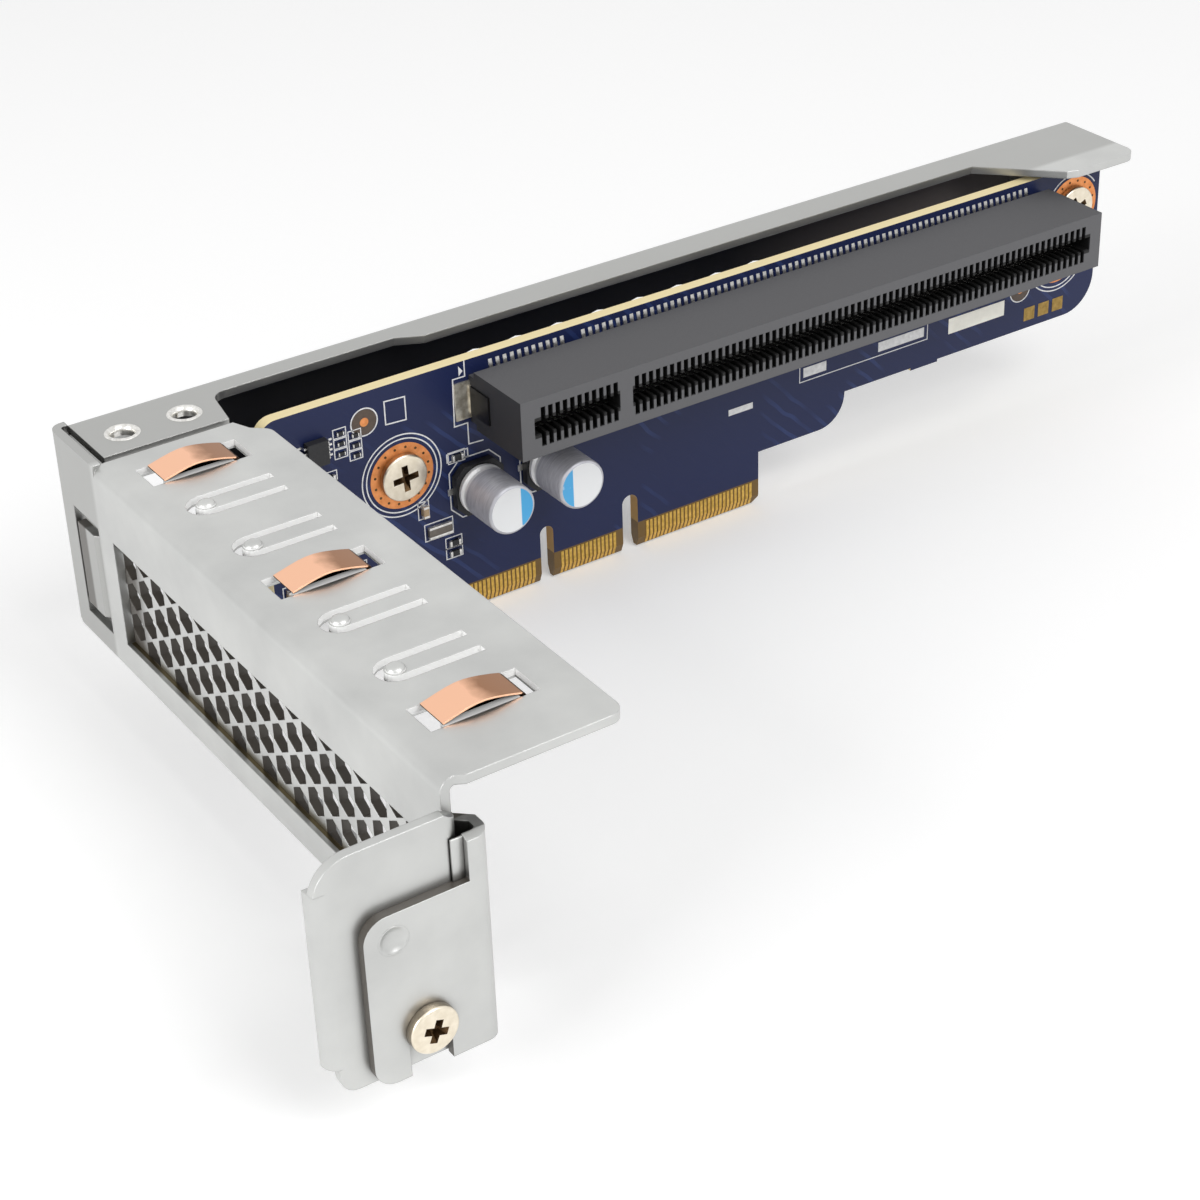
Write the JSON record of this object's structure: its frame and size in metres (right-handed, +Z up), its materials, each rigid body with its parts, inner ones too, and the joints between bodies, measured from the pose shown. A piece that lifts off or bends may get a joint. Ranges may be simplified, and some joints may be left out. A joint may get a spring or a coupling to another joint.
{
  "type": "pcie riser card",
  "caption": "Server riser card: a printed board with a full-length card slot and a gold edge, screwed to a folded steel frame with a vented slot face and grounding springs.",
  "frame": {"origin": "on the board's component face, at the near end of the slot housing, on the slot's centre line", "axes": "+X along the card slot away from the slot bracket, +Y from the component face to the side wall behind the board, +Z up, away from the gold edge"},
  "size_m": [0.1632, 0.0871, 0.0362],
  "materials": {
    "zinc_steel": "satin",
    "navy_board": "semi-gloss",
    "gold_plating": "gloss",
    "slot_plastic": "matte",
    "tin_plating": "gloss",
    "can_aluminium": "satin",
    "base_plastic": "matte",
    "chip_resin": "matte",
    "ceramic": "satin",
    "resistor_glaze": "gloss",
    "nickel_screw": "gloss",
    "standoff_steel": "satin",
    "spring_copper": "satin"
  },
  "bodies": {
    "root": {"riser_board": "navy_board", "edge_contacts": "gold_plating", "slot_housing": "slot_plastic", "upper_slot_contacts": "tin_plating", "lower_slot_contacts": "tin_plating", "slot_hold_downs": "tin_plating", "capacitor_can_left": "can_aluminium", "capacitor_can_right": "can_aluminium", "capacitor_base_left": "base_plastic", "capacitor_base_right": "base_plastic", "capacitor_leads": "tin_plating", "buffer_chip": "chip_resin", "buffer_chip_leads": "tin_plating", "switch_chip": "chip_resin", "switch_chip_leads": "tin_plating", "chip_resistors": "resistor_glaze", "chip_capacitors": "ceramic", "sense_resistor": "resistor_glaze", "riser_bracket": "zinc_steel", "vent_plate": "zinc_steel", "standoff_near": "standoff_steel", "standoff_far": "standoff_steel", "board_screw_near": "nickel_screw", "board_screw_far": "nickel_screw", "vent_plate_screw": "nickel_screw", "grounding_spring_front": "spring_copper", "grounding_spring_middle": "spring_copper", "grounding_spring_rear": "spring_copper"}
  },
  "joints": []
}
